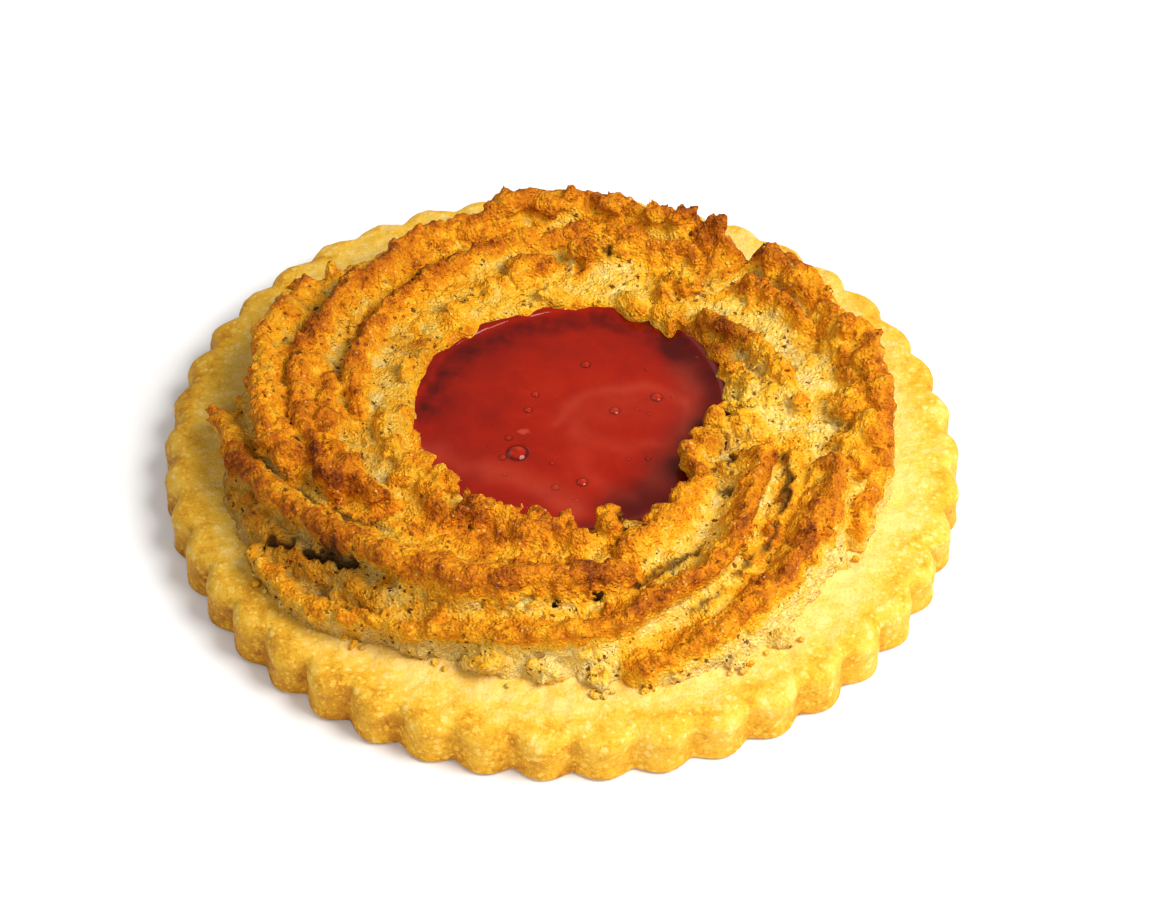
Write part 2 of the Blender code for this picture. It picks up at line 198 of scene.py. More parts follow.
# Places that the oven browned more or less: angle, radius, reach, change of toast
TOAST_PATCHES = (
    (206, 27.5, 3.2, 0.14), (225, 28.5, 5.0, 0.12), (245, 26.5, 5.0, 0.14), (268, 25.5, 4.5, 0.12),
    (262, 34.0, 3.5, 0.12), (284, 33.0, 3.5, 0.10), (216, 38.6, 1.0, 0.22), (222, 38.4, 1.0, 0.22),
    (228, 38.2, 1.0, 0.24), (234, 37.6, 1.0, 0.22), (30, 21.6, 1.4, 0.20), (333, 33.0, 2.2, 0.08),
    (322, 33.6, 2.2, 0.08), (38, 34.0, 2.6, 0.08), (14, 34.8, 2.4, 0.06), (125, 28.5, 3.0, 0.10),
    (58, 33.8, 1.6, 0.16), (97, 24.2, 2.0, 0.22), (54, 25.3, 1.8, 0.16), (82, 26.2, 1.6, 0.16),
    (124, 20.0, 2.2, 0.12), (75, 22.6, 3.0, -0.10), (105, 19.8, 3.0, -0.12), (18, 27.5, 3.5, -0.14),
    (200, 19.0, 4.0, -0.08), (4, 23.5, 3.4, -0.16), (227, 23.4, 2.5, 0.10), (243, 21.4, 2.5, 0.10),
    (275, 28.3, 2.0, 0.10), (333, 27.5, 2.0, 0.10), (320, 31.5, 2.0, 0.10), (309, 32.8, 2.2, 0.18),
    (194, 37.3, 2.0, 0.22), (200, 37.2, 2.0, 0.20), (236, 34.0, 1.6, -0.10), (262, 21.2, 1.5, -0.12),
    (1, 25.9, 1.4, -0.10), (171, 20.2, 1.4, 0.12), (224, 32.2, 1.6, 0.10), (235, 21.4, 1.8, 0.10),
    (249, 21.9, 1.8, 0.10), (9, 27.2, 1.4, 0.14), (19, 29.8, 1.4, 0.10), (255, 24.2, 1.8, 0.14),
    (266, 23.8, 1.8, 0.16), (276, 24.6, 1.8, 0.16), (271, 29.3, 1.8, -0.12), (1, 25.9, 1.8, -0.16),
    (28, 28.1, 1.4, -0.12), (15, 29.8, 1.5, -0.12), (171, 20.2, 1.8, -0.12), (153, 21.7, 1.4, -0.12),
    (209, 21.9, 1.4, -0.16), (99, 25.6, 2.2, -0.14), (79, 27.2, 1.8, -0.14), (296, 33.6, 2.2, 0.18),
    (245, 23.1, 2.0, 0.14), (277, 27.3, 1.8, 0.16), (245, 32.9, 2.0, 0.08), (278, 32.4, 2.6, 0.18),
    (341, 29.9, 1.6, 0.10), (45, 31.4, 1.8, 0.08), (174, 20.8, 2.0, -0.14), (189, 17.9, 2.0, -0.10),
    (232, 33.1, 2.0, -0.12), (224, 32.2, 2.0, -0.10), (30, 37.3, 2.0, -0.10), (334, 38.6, 2.0, -0.12),
    (181, 34.7, 2.0, -0.10), (32, 27.5, 3.0, -0.12), (345, 29.0, 3.0, -0.08), (268, 36.4, 4.0, -0.06),
    (300, 38.4, 3.0, -0.06),
)

# Places painted darker and greyer, as shade on walls and in furrows: angle, radius, reach, strength
SHADE_PATCHES = (
    (208, 35.8, 2.2, 0.6), (217, 35.0, 2.2, 0.7), (226, 34.2, 1.9, 0.7), (235, 33.8, 1.8, 0.5),
    (246, 33.8, 2.2, 0.4), (222, 32.0, 2.2, 0.3), (146, 19.2, 1.6, 0.6), (28, 21.0, 2.0, 0.6),
    (42, 21.6, 1.8, 0.5), (84, 25.0, 1.6, 0.3), (190, 36.4, 2.0, 0.5), (150, 32.6, 1.6, 0.4),
    (28, 24.2, 1.5, 0.4), (52, 29.3, 1.6, 0.5), (20, 29.5, 1.4, 0.5), (194, 37.3, 1.8, 0.8),
    (200, 37.2, 1.8, 0.8), (343, 20.0, 1.6, 0.6), (29, 23.1, 1.5, 0.4), (331, 20.8, 1.4, 0.4),
)

# Flecks of nut skin: spacing, radius as a share of it, share of places left out, colour
SPECKS = (
    (1.00, 0.24, 0.40, (84, 32, 12)),
    (0.62, 0.19, 0.55, (116, 54, 20)),
)

# The jelly's mesh runs on under the ring's torn lip
JELLY_REACH = 19.9
JELLY_COLUMNS, JELLY_RINGS = 400, 150

# Bubbles at the surface: place and radius
BUBBLES = (
    (-4.97, -4.31, 1.13), (10.76, 4.66, 0.65), (6.00, 2.47, 0.58), (2.28, -9.01, 0.61), (-1.09, -6.15, 0.29),
    (12.65, 4.66, 0.29), (8.45, 2.76, 0.23), (9.82, 1.88, 0.23), (-2.99, 5.13, 0.43), (2.76, 10.04, 0.52),
    (-3.80, 2.59, 0.47), (-5.96, -1.99, 0.40), (-6.58, -5.12, 0.43), (-0.68, -9.87, 0.47),
    (7.46, -5.40, 0.27), (9.64, -5.40, 0.29), (15.41, 11.13, 0.36), (1.64, -11.97, 0.25),
    (-6.35, -7.87, 0.25), (9.68, 9.14, 0.22),
)

# Painted pale swirls in the jelly, standing in for reflections off its ripples, and darker bands: a line, its
# half width and its strength
SHEEN_SWIRLS = (
    (((-0.9, 0.2), (0.7, 3.2), (2.7, 5.1), (5.6, 6.1), (8.9, 6.1), (11.8, 5.4), (13.4, 4.1)), 0.8, 0.17),
    (((1.7, 0.8), (2.3, -0.9), (3.9, -2.7), (7.2, -3.8), (10.4, -3.3)), 1.0, 0.12),
    (((1.8, -1.5), (2.0, -5.0), (3.1, -8.4), (5.1, -11.0), (7.9, -11.6)), 1.2, 0.10),
    (((-14.3, -4.4), (-11.0, -6.4), (-8.2, -6.8), (-5.8, -7.6), (-2.9, -9.0),
      (-0.9, -10.7), (1.5, -13.3)), 1.5, 0.24),
    (((-8.2, -8.4), (-4.9, -9.0), (-2.1, -11.3), (0.7, -14.1)), 1.0, 0.16),
    (((3.0, 2.4), (6.5, 3.4), (10.0, 3.0)), 2.6, 0.12),
    (((13.6, 9.0), (14.6, 5.0), (14.2, 0.8), (12.8, -4.4), (10.6, -8.6)), 1.8, 0.20),
)
# The upper dark band is partly a painted reflection of the dark ring wall; the other darkens the jelly along
# its right edge
DARK_BANDS = (
    (((-15.4, 2.6), (-13.9, 8.2), (-11.4, 11.6), (-7.2, 14.6), (-3.0, 16.4), (0.7, 17.3),
      (5.7, 17.6), (9.6, 16.3), (13.2, 13.4)), 2.0, 0.38),
    (((13.8, 12.4), (16.6, 8.6), (17.0, 4.4), (15.6, 0.2), (14.0, -4.4), (12.6, -7.6),
      (10.2, -10.6), (7.4, -13.0)), 3.0, 0.60),
)
PALE_FLECK = (-4.18, -0.94)

# Loose crumbs at the ring's foot: angle, radius, size
LOOSE_CRUMBS = (
    (212, 39.2, 0.6), (214, 39.7, 0.9), (216, 39.4, 0.5), (233, 38.0, 0.8), (235, 38.3, 1.0),
    (236.5, 38.0, 0.6), (249, 36.4, 0.9), (251, 36.8, 0.6), (262, 37.6, 0.5), (276, 38.8, 1.0),
    (277.6, 39.2, 0.8), (279, 38.7, 0.6), (298, 40.0, 0.8), (300, 40.5, 1.0), (301.6, 40.0, 0.7),
    (305, 39.6, 0.6), (309, 40.2, 0.9), (311, 40.4, 0.7), (327, 36.6, 0.7), (329, 37.4, 0.9),
    (331, 37.8, 0.7), (320, 37.0, 0.5), (148, 38.6, 0.7), (152, 38.2, 0.5),
)
LOOSE_SHARE = 0.55

# The ring's voxels, and the box that holds them
VOXEL = 0.30
RING_TRIANGLES = 194000
RING_FOOT_Z = 5.9
FIELD_LOW = (-41.0, -41.0, 5.4)
FIELD_HIGH = (41.0, 40.0, 16.8)
FIELD_INNER, FIELD_OUTER = 12.0, 41.5
# How far a ridge, tip or clump is worked out from its middle, and crumb from the plain surface
RIDGE_REACH, TIP_REACH, CLUMP_REACH, CRUMB_REACH = 7.0, 5.0, 5.5, 2.0
TIP_FOOT_DROP = 3.4
CLUMP_LEAST_HALF_HEIGHT = 1.4

FLOOR_HALF_SIZE = 3000.0
FLOOR_DROP = 0.0002


# Noise, the same each run

def hash_unit(ix, iy, iz, seed):
    """A number from 0 to 1 for each lattice point."""
    h = ix.astype(np.uint32) * np.uint32(374761393) + iy.astype(np.uint32) * np.uint32(668265263)
    h = h + iz.astype(np.uint32) * np.uint32(2246822519) + np.uint32(seed * 3266489917 % 4294967296)
    h = (h ^ (h >> np.uint32(15))) * np.uint32(2246822519)
    h = (h ^ (h >> np.uint32(13))) * np.uint32(3266489917)
    h = h ^ (h >> np.uint32(16))
    return h.astype(np.float32) / np.float32(4294967296.0)


GRADIENTS = np.array([(x, y, z) for x in (-1, 0, 1) for y in (-1, 0, 1) for z in (-1, 0, 1)
                      if abs(x) + abs(y) + abs(z) == 2], dtype=np.float32)


def perlin(points, size, seed):
    """Gradient noise from about -1 to 1 in cells of the given size; points holds x, y and z."""
    x, y, z = (np.asarray(v / size, dtype=np.float32) for v in points)
    fx, fy, fz = np.floor(x), np.floor(y), np.floor(z)
    ix, iy, iz = fx.astype(np.int64), fy.astype(np.int64), fz.astype(np.int64)
    x, y, z = x - fx, y - fy, z - fz
    u, v, w = (t * t * t * (t * (t * 6 - 15) + 10) for t in (x, y, z))
    total = 0
    for dx in (0, 1):
        for dy in (0, 1):
            for dz in (0, 1):
                pick = (hash_unit(ix + dx, iy + dy, iz + dz, seed) * len(GRADIENTS)).astype(np.int64)
                gradient = GRADIENTS[np.minimum(pick, len(GRADIENTS) - 1)]
                dot = gradient[..., 0] * (x - dx) + gradient[..., 1] * (y - dy) + gradient[..., 2] * (z - dz)
                weight = (u if dx else 1 - u) * (v if dy else 1 - v) * (w if dz else 1 - w)
                total = total + weight * dot
    return total


def grains(points, size, seed):
    """Distance to the nearest of scattered points, one in each cell, as a share of the cell's size."""
    x, y, z = (v / size for v in points)
    fx, fy, fz = np.floor(x), np.floor(y), np.floor(z)
    ix, iy, iz = fx.astype(np.int64), fy.astype(np.int64), fz.astype(np.int64)
    nearest = np.full(x.shape, 9.0, dtype=np.float32)
    for dx in (-1, 0, 1):
        for dy in (-1, 0, 1):
            for dz in (-1, 0, 1):
                cx, cy, cz = ix + dx, iy + dy, iz + dz
                px = cx + hash_unit(cx, cy, cz, seed) - x
                py = cy + hash_unit(cx, cy, cz, seed + 1) - y
                pz = cz + hash_unit(cx, cy, cz, seed + 2) - z
                nearest = np.minimum(nearest, px * px + py * py + pz * pz)
    return np.sqrt(nearest)


def smooth_step(low, high, value):
    t = np.clip((value - low) / (high - low), 0, 1)
    return t * t * (3 - 2 * t)


def smooth_min(a, b, width):
    h = np.clip(0.5 + 0.5 * (b - a) / width, 0, 1)
    return b + (a - b) * h - width * h * (1 - h)


def smooth_max(a, b, width):
    return -smooth_min(-a, -b, width)


def even_points(values, t):
    """A smooth line through the values, which lie at equal steps of t from 0 to 1."""
    if len(values) == 3:
        start, half, end = values
        return start * (1 - t) * (1 - 2 * t) + half * 4 * t * (1 - t) + end * t * (2 * t - 1)
    steps = len(values) - 1
    place = np.clip(t, 0, 1) * steps
    i = np.minimum(place.astype(int), steps - 1)
    f = place - i
    wide = np.array([2 * values[0] - values[1], *values, 2 * values[-1] - values[-2]])
    a, b, c, d = (wide[i + k] for k in range(4))
    return b + 0.5 * ((c - a) * f + (2 * a - 5 * b + 4 * c - d) * f ** 2 + (3 * b - a - 3 * c + d) * f ** 3)


def table_at(table, angle):
    angles, values = zip(*table)
    return np.interp(angle, angles, values).astype(np.float32)


# The ring's form, as a field that is negative inside the crumb

def ring_polar(x, y):
    """Angle in degrees and radius about the ring's centre."""
    dx, dy = x - RING_CENTRE[0], y - RING_CENTRE[1]
    return np.degrees(np.arctan2(dy, dx)) % 360, np.hypot(dx, dy)


def hole_radius(angle):
    """From the ring's centre to the wall of the round hole about the jelly."""
    turn = np.radians(angle)
    ox, oy = JELLY_CENTRE[0] - RING_CENTRE[0], JELLY_CENTRE[1] - RING_CENTRE[1]
    along = ox * np.cos(turn) + oy * np.sin(turn)
    across = ox * ox + oy * oy - along ** 2
    return along + np.sqrt(JELLY_RADIUS ** 2 - across) + table_at(HOLE, angle)


def along_ridge(ridge, angle):
    """Where each angle lies along a ridge, 0 to 1, and how many degrees it is from the nearer end."""
    first, last = ridge[0], ridge[1]
    place = (angle - first) % 360 + first
    inside = place < last
    to_end = np.minimum(place - first, last - place)
    return np.where(inside, (place - first) / (last - first), 0), inside, to_end


def crest_line(ridge, angle):
    """Radius and height of a ridge's crest, the size of its rounded top, and where it exists."""
    _, _, radii, crests, half_width, flare_in, flare_out = ridge[:7]
    t, inside, to_end = along_ridge(ridge, angle)
    middle = even_points(radii, t)
    rounding = np.clip(np.radians(to_end) * middle / (1.3 * half_width), 0, 1)
    top = CREST_SHARE * half_width
    size = top * np.sqrt(1 - (1 - rounding) ** 2)
    middle = middle + (half_width - top) * np.sign(flare_in - flare_out)
    drop = END_DROP * (1 - rounding) ** 2 + END_FALL * (1 - rounding) ** 6
    return middle, even_points(crests, t) - drop, size, inside, t


def ridge_distance(ridge, angle, radius, height, jag):
    """Signed distance to a ridge: a rounded crest between two straight flanks."""
    middle, crest, size, inside, _ = crest_line(ridge, angle)
    aside = radius - middle
    over = height - (crest + jag - size)
    slope = np.arctan(np.where(aside < 0, ridge[5], ridge[6]))
    across = np.abs(aside)
    round_part = np.hypot(across, over) - size
    flat_part = across * np.cos(slope) + over * np.sin(slope) - size
    distance = np.where(np.arctan2(over, across) > slope, round_part, flat_part)
    return np.where(inside, distance, 9.0)


def mound_distance(angle, radius, height):
    """The low plain body that the ridges stand on."""
    outer = radius - table_at(FOOT, angle) + table_at(APRON, angle) * (height - RING_FOOT_Z)
    inner = hole_radius(angle) - radius + 0.05 * (height - JELLY_TOP)
    top = height - MOUND_TOP
    return smooth_max(smooth_max(outer, top, 1.6), inner, 1.2)


def polar_point(angle, radius):
    turn = math.radians(angle)
    return RING_CENTRE[0] + radius * math.cos(turn), RING_CENTRE[1] + radius * math.sin(turn)


def tip_distance(tip, x, y, height):
    """Signed distance to a cone that stands on the crumb and ends in a torn tip."""
    angle, radius, top, thickness, foot_out = tip
    tip_x, tip_y = polar_point(angle, radius)
    foot_x, foot_y = polar_point(angle, radius + foot_out)
    run = np.array([foot_x - tip_x, foot_y - tip_y, -TIP_FOOT_DROP])
    dx, dy, dz = x - tip_x, y - tip_y, height - (top - 0.5 * thickness)
    t = np.clip((dx * run[0] + dy * run[1] + dz * run[2]) / (run @ run), 0, 1)
    away = np.sqrt((dx - t * run[0]) ** 2 + (dy - t * run[1]) ** 2 + (dz - t * run[2]) ** 2)
    return away - thickness * (0.5 + 0.9 * t)


def clump_distance(clump, x, y, height):
    """Signed distance, near enough, to an egg-shaped clump."""
    angle, radius, top, half_out, half_along = clump
    half_up = max(CLUMP_LEAST_HALF_HEIGHT, half_out)
    turn = math.radians(angle)
    px, py = polar_point(angle, radius)
    out = (x - px) * math.cos(turn) + (y - py) * math.sin(turn)
    along = (y - py) * math.cos(turn) - (x - px) * math.sin(turn)
    up = height - (top - half_up)
    share = np.sqrt((out / half_out) ** 2 + (along / half_along) ** 2 + (up / half_up) ** 2)
    return (share - 1) * min(half_out, half_along)


def crack_distance(x, y, z):
    """Signed distance to the nearest crack or hollow, negative inside it."""
    angle, radius = ring_polar(x, y)
    wander = 0.7 * perlin((x / 2.2, y / 2.2, z / 4.0), 1, 10)
    wander = wander + 0.45 * perlin((x / 0.9, y / 0.9, z / 1.2), 1, 11)
    vary = perlin((x / 1.6, y / 1.6, z / 2.5), 1, 31)
    nearest = np.full(x.shape, 9.0)
    for first, last, start, end, middle, half_width in CRACKS:
        t = (angle - first) / (last - first)
        line = start + (end - start) * t + wander
        taper = np.clip(np.minimum(t, 1 - t) * 7, 0, 1)
        open_width = half_width * (taper * (1.15 + 1.3 * vary) - 0.15)
        crack = np.hypot(radius - line, (z - middle) * 0.30) - open_width
        nearest = np.where((t > 0) & (t < 1), np.minimum(nearest, crack), nearest)
    for place, reach, half_width in HOLLOWS:
        px, py = polar_point(place, reach)
        away = np.hypot(x - px + wander, y - py + vary) - half_width * (1.1 + 1.3 * vary)
        nearest = np.minimum(nearest, np.maximum(away, HOLLOW_FLOOR - z))
    return nearest


def ring_field():
    """The field on a grid of voxels, and the grid's axes."""
    axes = [np.arange(low, high, VOXEL, dtype=np.float32) for low, high in zip(FIELD_LOW, FIELD_HIGH)]
    x, y = np.meshgrid(axes[0], axes[1], indexing="ij")
    flat = (x, y, np.zeros_like(x))
    warp_x = 0.8 * perlin(flat, 6.5, 1) + 0.55 * perlin(flat, 2.6, 2)
    warp_y = 0.8 * perlin(flat, 6.5, 3) + 0.55 * perlin(flat, 2.6, 4)
    warp_x = warp_x + 0.25 * perlin(flat, 1.2, 14)
    warp_y = warp_y + 0.25 * perlin(flat, 1.2, 15)
    angle, radius = ring_polar(x + warp_x, y + warp_y)
    plain = np.hypot(x - RING_CENTRE[0], y - RING_CENTRE[1])
    keep = (plain > FIELD_INNER) & (plain < FIELD_OUTER)
    column = np.nonzero(keep)
    a, r = angle[column][:, None], radius[column][:, None]
    cx, cy = x[column][:, None], y[column][:, None]
    height = axes[2][None, :]
    jag = 0.6 * perlin(flat, 3.0, 5) + 0.5 * perlin(flat, 1.3, 6)
    jag = jag[column][:, None] - 0.1
    over_jelly = smooth_step(10.1, 11.0, height) * smooth_step(25.0, 18.0, r)
    r = r - table_at(LIP, a) * over_jelly
    distance = mound_distance(a, r, height)
    for ridge in RIDGES:
        middle, _, _, inside, _ = crest_line(ridge, a[:, 0])
        rows = np.nonzero(inside & (np.abs(r[:, -1] - middle) < RIDGE_REACH))[0]
        part = ridge_distance(ridge, a[rows], r[rows], height, jag[rows])
        distance[rows] = smooth_min(distance[rows], part, 0.35)
    for tip in TIPS:
        px, py = polar_point(tip[0], tip[1] + 0.5 * tip[4])
        rows = np.nonzero(np.hypot(cx[:, 0] - px, cy[:, 0] - py) < TIP_REACH)[0]
        distance[rows] = smooth_min(distance[rows], tip_distance(tip, cx[rows], cy[rows], height), 0.4)
    bent_x, bent_y = (x + warp_x)[column][:, None], (y + warp_y)[column][:, None]
    for clump in CLUMPS:
        px, py = polar_point(clump[0], clump[1])
        rows = np.nonzero(np.hypot(cx[:, 0] - px, cy[:, 0] - py) < CLUMP_REACH)[0]
        part = clump_distance(clump, bent_x[rows], bent_y[rows], height)
        distance[rows] = smooth_min(distance[rows], part, 0.5)

    rows, levels = np.nonzero(np.abs(distance) < CRUMB_REACH)
    px, py, pz = point = x[column][rows], y[column][rows], axes[2][levels]
    broad_lump = 1.4 * np.abs(perlin(point, 3.6, 16)) - 0.35
    small_lump = 1.4 * np.abs(perlin(point, 1.9, 7)) - 0.35
    chunk = 0.60 - grains(point, 2.3, 71)
    coarse = 0.60 - grains(point, 1.25, 41)
    sand = perlin(point, 0.75, 51)
    crust = np.clip(0.75 + 1.1 * perlin(point, 2.6, 55), 0.25, 1.5)
    grit = perlin(point, 0.45, 57)
    rough = 0.35 * broad_lump + 0.55 * small_lump + 0.44 * chunk + (0.36 * coarse + 0.42 * sand) * crust
    rough = rough + 0.34 * grit
    amount = np.clip(0.9 + 0.8 * perlin(point, 5, 9), 0.5, 1.3)
    # the jelly has wetted and smoothed the wall beside it
    wall_angle, wall_radius = ring_polar(px, py)
    beside = smooth_step(2.2, 0.8, wall_radius - hole_radius(wall_angle)) * smooth_step(11.4, 10.4, pz)
    amount = amount * (1 - 0.75 * beside)
    near = distance[rows, levels] - rough * amount
    near = np.maximum(near, -crack_distance(px, py, pz))
    # small holes, left by steam
    holes = grains(point, 2.7, 61)
    size = 0.04 + 0.20 * np.clip(perlin(point, 4.0, 13) + 0.30, 0, 1)
    near = np.maximum(near, (size - holes) * 2.7)
    distance[rows, levels] = near
    distance = np.maximum(distance, RING_FOOT_Z - height)
    field = np.full((len(axes[0]), len(axes[1]), len(axes[2])), 3.0, dtype=np.float32)
    field[column] = distance
    return field, axes


def surface_nets(field, axes):
    """A mesh of quads round the field's zero level, with one point in each voxel that it crosses."""
    inside = field < 0
    corner_offsets = [(i, j, k) for i in (0, 1) for j in (0, 1) for k in (0, 1)]
    nx, ny, nz = (n - 1 for n in field.shape)

    def corner(values, offset):
        i, j, k = offset
        return values[i:i + nx, j:j + ny, k:k + nz]

    count = sum(corner(inside, offset).astype(np.int8) for offset in corner_offsets)
    cells = np.nonzero((count > 0) & (count < 8))
    number = np.full((nx, ny, nz), -1, dtype=np.int64)
    number[cells] = np.arange(len(cells[0]))
    values = np.stack([corner(field, offset)[cells] for offset in corner_offsets], 1)
    total = np.zeros((len(cells[0]), 3))
    crossings = np.zeros(len(cells[0]))
    for first, low in enumerate(corner_offsets):
        for second, high in enumerate(corner_offsets):
            if sum(abs(p - q) for p, q in zip(low, high)) != 1 or second < first:
                continue
            va, vb = values[:, first], values[:, second]
            crossed = (va < 0) != (vb < 0)
            t = np.where(crossed, va / np.where(crossed, va - vb, 1), 0)
            for axis in range(3):
                total[:, axis] += np.where(crossed, low[axis] + t * (high[axis] - low[axis]), 0)
            crossings += crossed
    places = np.stack(cells, 1) + total / crossings[:, None]
    points = np.stack([axis[0] + VOXEL * places[:, i] for i, axis in enumerate(axes)], 1)
    faces = []
    for axis in range(3):
        b, c = [i for i in range(3) if i != axis]
        low = [slice(0, n) for n in (nx, ny, nz)]
        high = list(low)
        high[axis] = slice(1, (nx, ny, nz)[axis] + 1)
        change = inside[tuple(low)] != inside[tuple(high)]
        edges = np.nonzero(change)
        ok = (edges[b] > 0) & (edges[c] > 0)
        edges = [e[ok] for e in edges]
        solid_first = inside[tuple(edges)]

        def cell(step_b, step_c):
            place = [e.copy() for e in edges]
            place[b] -= step_b
            place[c] -= step_c
            return number[tuple(place)]

        quad = np.stack([cell(1, 1), cell(0, 1), cell(0, 0), cell(1, 0)], 1)
        turned = solid_first if axis != 1 else ~solid_first
        quad[~turned] = quad[~turned][:, ::-1]
        faces.append(quad)
    return points, np.concatenate(faces)


# Making objects

def mesh_object(name, points_mm, faces, material, smooth=True):
    """faces is an array of quads or triangles, or a list of either."""
    mesh = bpy.data.meshes.new(name)
    points = np.asarray(points_mm, dtype=np.float64) * MM
    groups = faces if isinstance(faces, list) else [faces]
    mesh.vertices.add(len(points))
    mesh.vertices.foreach_set("co", points.astype(np.float32).ravel())
    loops = np.concatenate([g.ravel() for g in groups]).astype(np.int32)
    sizes = np.concatenate([np.full(len(g), g.shape[1]) for g in groups])
    starts = np.concatenate([[0], np.cumsum(sizes)[:-1]]).astype(np.int32)
    mesh.loops.add(len(loops))
    mesh.loops.foreach_set("vertex_index", loops)
    mesh.polygons.add(len(sizes))
    mesh.polygons.foreach_set("loop_start", starts)
    mesh.update(calc_edges=True)
    mesh.validate()
    if smooth:
        mesh.shade_smooth()
    mesh.materials.append(material)
    item = bpy.data.objects.new(name, mesh)
    bpy.context.scene.collection.objects.link(item)
    return item


def closed_body(name, grid, columns, low_middle, high_middle, material):
    """A body from rings of points, from near its underside's middle to near its top's; also its points."""
    index = np.arange(len(grid)).reshape(-1, columns)
    after = np.roll(index, -1, axis=1)
    quads = np.stack([index[:-1], after[:-1], after[1:], index[1:]], 2).reshape(-1, 4)
    low_fan = np.stack([after[0], index[0], np.full(columns, len(grid))], 1)
    high_fan = np.stack([index[-1], after[-1], np.full(columns, len(grid) + 1)], 1)
    points = np.vstack([grid, low_middle, high_middle])
    return mesh_object(name, points, [quads, low_fan, high_fan], material), points


def vertex_places(item):
    """The object's points in millimetres."""
    flat = np.empty(len(item.data.vertices) * 3, dtype=np.float32)
    item.data.vertices.foreach_get("co", flat)
    return flat.reshape(-1, 3) / MM


def set_attribute(item, name, values):
    layer = item.data.attributes.new(name, "FLOAT", "POINT")
    layer.data.foreach_set("value", np.asarray(values, dtype=np.float32))


def apply_modifiers(item):
    depsgraph = bpy.context.evaluated_depsgraph_get()
    mesh = bpy.data.meshes.new_from_object(item.evaluated_get(depsgraph), depsgraph=depsgraph)
    item.modifiers.clear()
    item.data = mesh


# Materials

class Shader:
    """A material's node tree, with short calls for the nodes used here."""

    def __init__(self, name, roughness=0.8, specular=0.5):
        self.material = bpy.data.materials.new(name)
        self.material.use_nodes = True
        self.tree = self.material.node_tree
        self.surface = self.tree.nodes["Principled BSDF"]
        self.surface.inputs["Roughness"].default_value = roughness
        self.surface.inputs["Specular IOR Level"].default_value = specular
        self.place = self.node("ShaderNodeTexCoord").outputs["Object"]

    def node(self, kind):
        return self.tree.nodes.new(kind)

    def link(self, source, target):
        if hasattr(source, "is_output"):
            self.tree.links.new(source, target)
        else:
            target.default_value = source

    def attribute(self, name):
        node = self.node("ShaderNodeAttribute")
        node.attribute_name = name
        return node.outputs["Fac"]

    def noise(self, size_mm, detail=3.0, rough=0.55, distortion=0.0):
        node = self.node("ShaderNodeTexNoise")
        self.link(self.place, node.inputs["Vector"])
        node.inputs["Scale"].default_value = 1000.0 / size_mm
        node.inputs["Detail"].default_value = detail
        node.inputs["Roughness"].default_value = rough
        node.inputs["Distortion"].default_value = distortion
        return node.outputs["Fac"]

    def cells(self, size_mm):
        """Distance to the nearest of scattered points, and a random colour for each."""
        node = self.node("ShaderNodeTexVoronoi")
        self.link(self.place, node.inputs["Vector"])
        node.inputs["Scale"].default_value = 1000.0 / size_mm
        return node.outputs["Distance"], node.outputs["Color"]

    def maths(self, operation, a, b=0.0, clamp=False):
        node = self.node("ShaderNodeMath")
        node.operation = operation
        node.use_clamp = clamp
        self.link(a, node.inputs[0])
        self.link(b, node.inputs[1])
        return node.outputs[0]

    def add(self, a, b, clamp=False):
        return self.maths("ADD", a, b, clamp)

    def times(self, a, b, clamp=False):
        return self.maths("MULTIPLY", a, b, clamp)

    def swing(self, amount, *noise):
        """Noise that swings about zero by up to the amount."""
        return self.fit(self.noise(*noise), 0.3, 0.7, -amount, amount, False)

    def fit(self, value, low, high, to_low=0.0, to_high=1.0, smooth=True):
        node = self.node("ShaderNodeMapRange")
        node.interpolation_type = "SMOOTHSTEP" if smooth else "LINEAR"
        self.link(value, node.inputs["Value"])
        for name, number in zip(("From Min", "From Max", "To Min", "To Max"), (low, high, to_low, to_high)):
            node.inputs[name].default_value = number
        return node.outputs["Result"]

    def ramp(self, value, stops):
        """stops: position and sRGB colour, 0 to 255."""
        node = self.node("ShaderNodeValToRGB")
        points = node.color_ramp.elements
        while len(points) < len(stops):
            points.new(0.5)
        for point, (position, colour) in zip(points, stops):
            point.position = position
            point.color = linear(colour)
        self.link(value, node.inputs["Fac"])
        return node.outputs["Color"]

    def mix(self, factor, a, b, blend="MIX"):
        node = self.node("ShaderNodeMix")
        node.data_type = "RGBA"
        node.blend_type = blend
        self.link(factor, node.inputs["Factor"])
        self.link(a, node.inputs["A"])
        self.link(b, node.inputs["B"])
        return node.outputs["Result"]

    def separate(self, vector):
        node = self.node("ShaderNodeSeparateXYZ")
        self.link(vector, node.inputs[0])
        return node.outputs[0], node.outputs[1], node.outputs[2]

    def bump(self, height, depth_mm, strength=1.0):
        node = self.node("ShaderNodeBump")
        node.inputs["Distance"].default_value = depth_mm * MM
        node.inputs["Strength"].default_value = strength
        self.link(height, node.inputs["Height"])
        return node.outputs["Normal"]


def linear(colour):
    """sRGB from 0 to 255, as linear red, green, blue and alpha."""
    parts = [c / 255 for c in colour]
    return tuple(c / 12.92 if c <= 0.04045 else ((c + 0.055) / 1.055) ** 2.4 for c in parts) + (1.0,)


